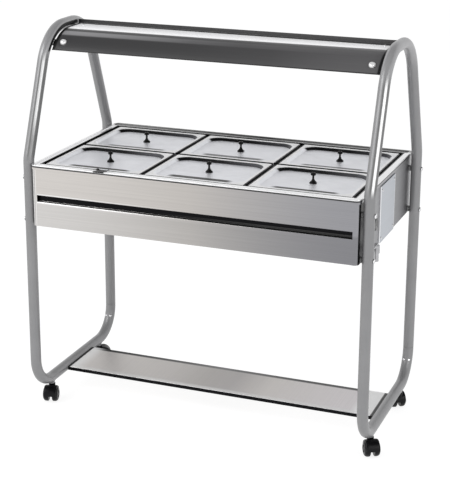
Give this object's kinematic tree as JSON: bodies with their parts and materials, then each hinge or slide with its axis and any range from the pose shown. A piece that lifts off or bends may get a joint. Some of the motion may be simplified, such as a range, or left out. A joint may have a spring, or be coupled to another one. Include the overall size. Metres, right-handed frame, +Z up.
{
  "type": "heated buffet cart",
  "caption": "Heated buffet cart with bent tube side frames, a bain-marie tank of lidded food pans, a curved lamp canopy, a bottom shelf and swivel casters.",
  "frame": {"origin": "on the floor under the middle of the tank and of the two side frames, midway between them", "axes": "+X along the cart to the end with the controls, -Y the serving front with the finger groove, +Z up"},
  "size_m": [1.1554, 0.616, 1.25],
  "materials": {
    "satin_tube": "satin",
    "steel_sheet": "brushed",
    "polished_steel": "polished",
    "inner_steel": "brushed",
    "panel_steel": "fine brushed",
    "canopy_sheet": "polished, reflecting a dark room",
    "shelf_sheet": "brushed",
    "fastener": "bright",
    "knob_black": "satin black",
    "black_plastic": "matt black",
    "wheel_black": "matt black",
    "dial_plastic": "gloss black",
    "pilot_amber": "translucent amber",
    "tap_metal": "polished",
    "lamp_white": "frosted glass",
    "diffuser": "frosted",
    "element_sheath": "heat-tinted"
  },
  "bodies": {
    "cart": {"bottom_cover": "inner_steel", "bottom_shelf": "shelf_sheet", "cable_gland": "black_plastic", "canopy": "canopy_sheet", "canopy_brackets": "satin_tube", "canopy_cap_nuts": "fastener", "caster_sockets": "satin_tube", "deck_frame": "steel_sheet", "drain_tap_body": "tap_metal", "frame_joint_sleeves": "satin_tube", "front_apron": "steel_sheet", "heating_element": "element_sheath", "lamp_diffuser": "diffuser", "lamp_holders": "black_plastic", "lamp_housing": "inner_steel", "lamp_tube": "lamp_white", "left_side_frame": "satin_tube", "left_side_panel": "steel_sheet", "pan_head_screws": "fastener", "pan_support_bars": "inner_steel", "pilot_lamp": "pilot_amber", "rear_apron": "steel_sheet", "right_side_frame": "satin_tube", "right_side_panel": "steel_sheet", "service_cover": "panel_steel", "switch_housings": "black_plastic", "tank_mount_bolts": "fastener", "tank_mount_spacers": "fastener", "thermostat_body": "black_plastic", "well_tub": "inner_steel"},
    "pan_front_left": {"pan_front_left": "inner_steel"},
    "lid_front_left": {"lid_front_left": "polished_steel", "lid_knob_front_left": "knob_black"},
    "pan_front_middle": {"pan_front_middle": "inner_steel"},
    "lid_front_middle": {"lid_front_middle": "polished_steel", "lid_knob_front_middle": "knob_black"},
    "pan_front_right": {"pan_front_right": "inner_steel"},
    "lid_front_right": {"lid_front_right": "polished_steel", "lid_knob_front_right": "knob_black"},
    "pan_rear_left": {"pan_rear_left": "inner_steel"},
    "lid_rear_left": {"lid_rear_left": "polished_steel", "lid_knob_rear_left": "knob_black"},
    "pan_rear_middle": {"pan_rear_middle": "inner_steel"},
    "lid_rear_middle": {"lid_rear_middle": "polished_steel", "lid_knob_rear_middle": "knob_black"},
    "pan_rear_right": {"pan_rear_right": "inner_steel"},
    "lid_rear_right": {"lid_rear_right": "polished_steel", "lid_knob_rear_right": "knob_black"},
    "thermostat_dial": {"thermostat_dial": "dial_plastic"},
    "heat_rocker": {"heat_rocker": "black_plastic"},
    "light_rocker": {"light_rocker": "black_plastic"},
    "drain_tap_lever": {"drain_tap_lever": "tap_metal"},
    "caster_front_left": {"caster_housing_front_left": "black_plastic"},
    "wheels_front_left": {"caster_wheels_front_left": "wheel_black"},
    "caster_front_right": {"caster_housing_front_right": "black_plastic"},
    "wheels_front_right": {"caster_wheels_front_right": "wheel_black"},
    "caster_rear_left": {"caster_housing_rear_left": "black_plastic"},
    "wheels_rear_left": {"caster_wheels_rear_left": "wheel_black"},
    "caster_rear_right": {"caster_housing_rear_right": "black_plastic"},
    "wheels_rear_right": {"caster_wheels_rear_right": "wheel_black"}
  },
  "joints": [
    {"name": "pan_lift_front_left", "type": "slide", "parent": "cart", "child": "pan_front_left", "axis": [0, 0, 1], "range_m": [0, 0.13]},
    {"name": "lid_lift_front_left", "type": "slide", "parent": "pan_front_left", "child": "lid_front_left", "axis": [0, 0, 1], "range_m": [0, 0.07]},
    {"name": "pan_lift_front_middle", "type": "slide", "parent": "cart", "child": "pan_front_middle", "axis": [0, 0, 1], "range_m": [0, 0.13]},
    {"name": "lid_lift_front_middle", "type": "slide", "parent": "pan_front_middle", "child": "lid_front_middle", "axis": [0, 0, 1], "range_m": [0, 0.07]},
    {"name": "pan_lift_front_right", "type": "slide", "parent": "cart", "child": "pan_front_right", "axis": [0, 0, 1], "range_m": [0, 0.13]},
    {"name": "lid_lift_front_right", "type": "slide", "parent": "pan_front_right", "child": "lid_front_right", "axis": [0, 0, 1], "range_m": [0, 0.07]},
    {"name": "pan_lift_rear_left", "type": "slide", "parent": "cart", "child": "pan_rear_left", "axis": [0, 0, 1], "range_m": [0, 0.13]},
    {"name": "lid_lift_rear_left", "type": "slide", "parent": "pan_rear_left", "child": "lid_rear_left", "axis": [0, 0, 1], "range_m": [0, 0.07]},
    {"name": "pan_lift_rear_middle", "type": "slide", "parent": "cart", "child": "pan_rear_middle", "axis": [0, 0, 1], "range_m": [0, 0.13]},
    {"name": "lid_lift_rear_middle", "type": "slide", "parent": "pan_rear_middle", "child": "lid_rear_middle", "axis": [0, 0, 1], "range_m": [0, 0.07]},
    {"name": "pan_lift_rear_right", "type": "slide", "parent": "cart", "child": "pan_rear_right", "axis": [0, 0, 1], "range_m": [0, 0.13]},
    {"name": "lid_lift_rear_right", "type": "slide", "parent": "pan_rear_right", "child": "lid_rear_right", "axis": [0, 0, 1], "range_m": [0, 0.07]},
    {"name": "thermostat_turn", "type": "hinge", "parent": "cart", "child": "thermostat_dial", "pos_m": [0.5245, -0.179, 0.735], "axis": [1, 0, 0], "range_deg": [0, 270]},
    {"name": "heat_rocker_tilt", "type": "hinge", "parent": "cart", "child": "heat_rocker", "pos_m": [0.523, -0.179, 0.795], "axis": [0, -1, 0], "range_deg": [0, 16]},
    {"name": "light_rocker_tilt", "type": "hinge", "parent": "cart", "child": "light_rocker", "pos_m": [0.523, -0.213, 0.795], "axis": [0, -1, 0], "range_deg": [0, 16]},
    {"name": "drain_lever_turn", "type": "hinge", "parent": "cart", "child": "drain_tap_lever", "pos_m": [0.543, -0.178, 0.671], "axis": [0, 0, 1], "range_deg": [0, 90]},
    {"name": "caster_swivel_front_left", "type": "hinge", "parent": "cart", "child": "caster_front_left", "pos_m": [-0.546, -0.176, 0.057], "axis": [0, 0, 1], "continuous": true},
    {"name": "wheel_spin_front_left", "type": "hinge", "parent": "caster_front_left", "child": "wheels_front_left", "pos_m": [-0.54186, -0.19145, 0.025], "axis": [-0.9659, -0.2588, 0], "continuous": true},
    {"name": "caster_swivel_front_right", "type": "hinge", "parent": "cart", "child": "caster_front_right", "pos_m": [0.546, -0.176, 0.057], "axis": [0, 0, 1], "continuous": true},
    {"name": "wheel_spin_front_right", "type": "hinge", "parent": "caster_front_right", "child": "wheels_front_right", "pos_m": [0.554, -0.18986, 0.025], "axis": [-0.866, -0.5, 0], "continuous": true},
    {"name": "caster_swivel_rear_left", "type": "hinge", "parent": "cart", "child": "caster_rear_left", "pos_m": [-0.546, 0.176, 0.057], "axis": [0, 0, 1], "continuous": true},
    {"name": "wheel_spin_rear_left", "type": "hinge", "parent": "caster_rear_left", "child": "wheels_rear_left", "pos_m": [-0.53289, 0.18518, 0.025], "axis": [0.5736, -0.8192, 0], "continuous": true},
    {"name": "caster_swivel_rear_right", "type": "hinge", "parent": "cart", "child": "caster_rear_right", "pos_m": [0.546, 0.176, 0.057], "axis": [0, 0, 1], "continuous": true},
    {"name": "wheel_spin_rear_right", "type": "hinge", "parent": "caster_rear_right", "child": "wheels_rear_right", "pos_m": [0.53682, 0.18911, 0.025], "axis": [0.8192, 0.5736, 0], "continuous": true}
  ]
}
